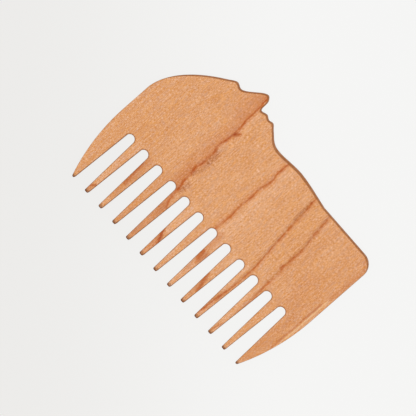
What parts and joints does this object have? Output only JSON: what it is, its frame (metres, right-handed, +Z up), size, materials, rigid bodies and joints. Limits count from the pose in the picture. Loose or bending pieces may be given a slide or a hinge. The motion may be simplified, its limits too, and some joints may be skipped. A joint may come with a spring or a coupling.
{
  "type": "beard comb",
  "caption": "Flat wooden beard comb with wide tapered teeth, stout curved end teeth and a broad back whose long edge is a calm bearded head in profile.",
  "frame": {"origin": "under the middle of the comb's bounding box, on the face it lies on", "axes": "+X along the comb from the crown of the head to the end of the beard, +Y from the tooth tips to the back, +Z up through the thickness of the board"},
  "size_m": [0.115, 0.0816, 0.005],
  "materials": {
    "wood": "fine-grained reddish-tan fruitwood, sanded, with darkened cut edges"
  },
  "bodies": {
    "root": {"comb_back": "wood", "end_tooth_left": "wood", "tooth_01": "wood", "tooth_02": "wood", "tooth_03": "wood", "tooth_04": "wood", "tooth_05": "wood", "tooth_06": "wood", "tooth_07": "wood", "tooth_08": "wood", "tooth_09": "wood", "tooth_10": "wood", "tooth_11": "wood", "end_tooth_right": "wood"}
  },
  "joints": []
}
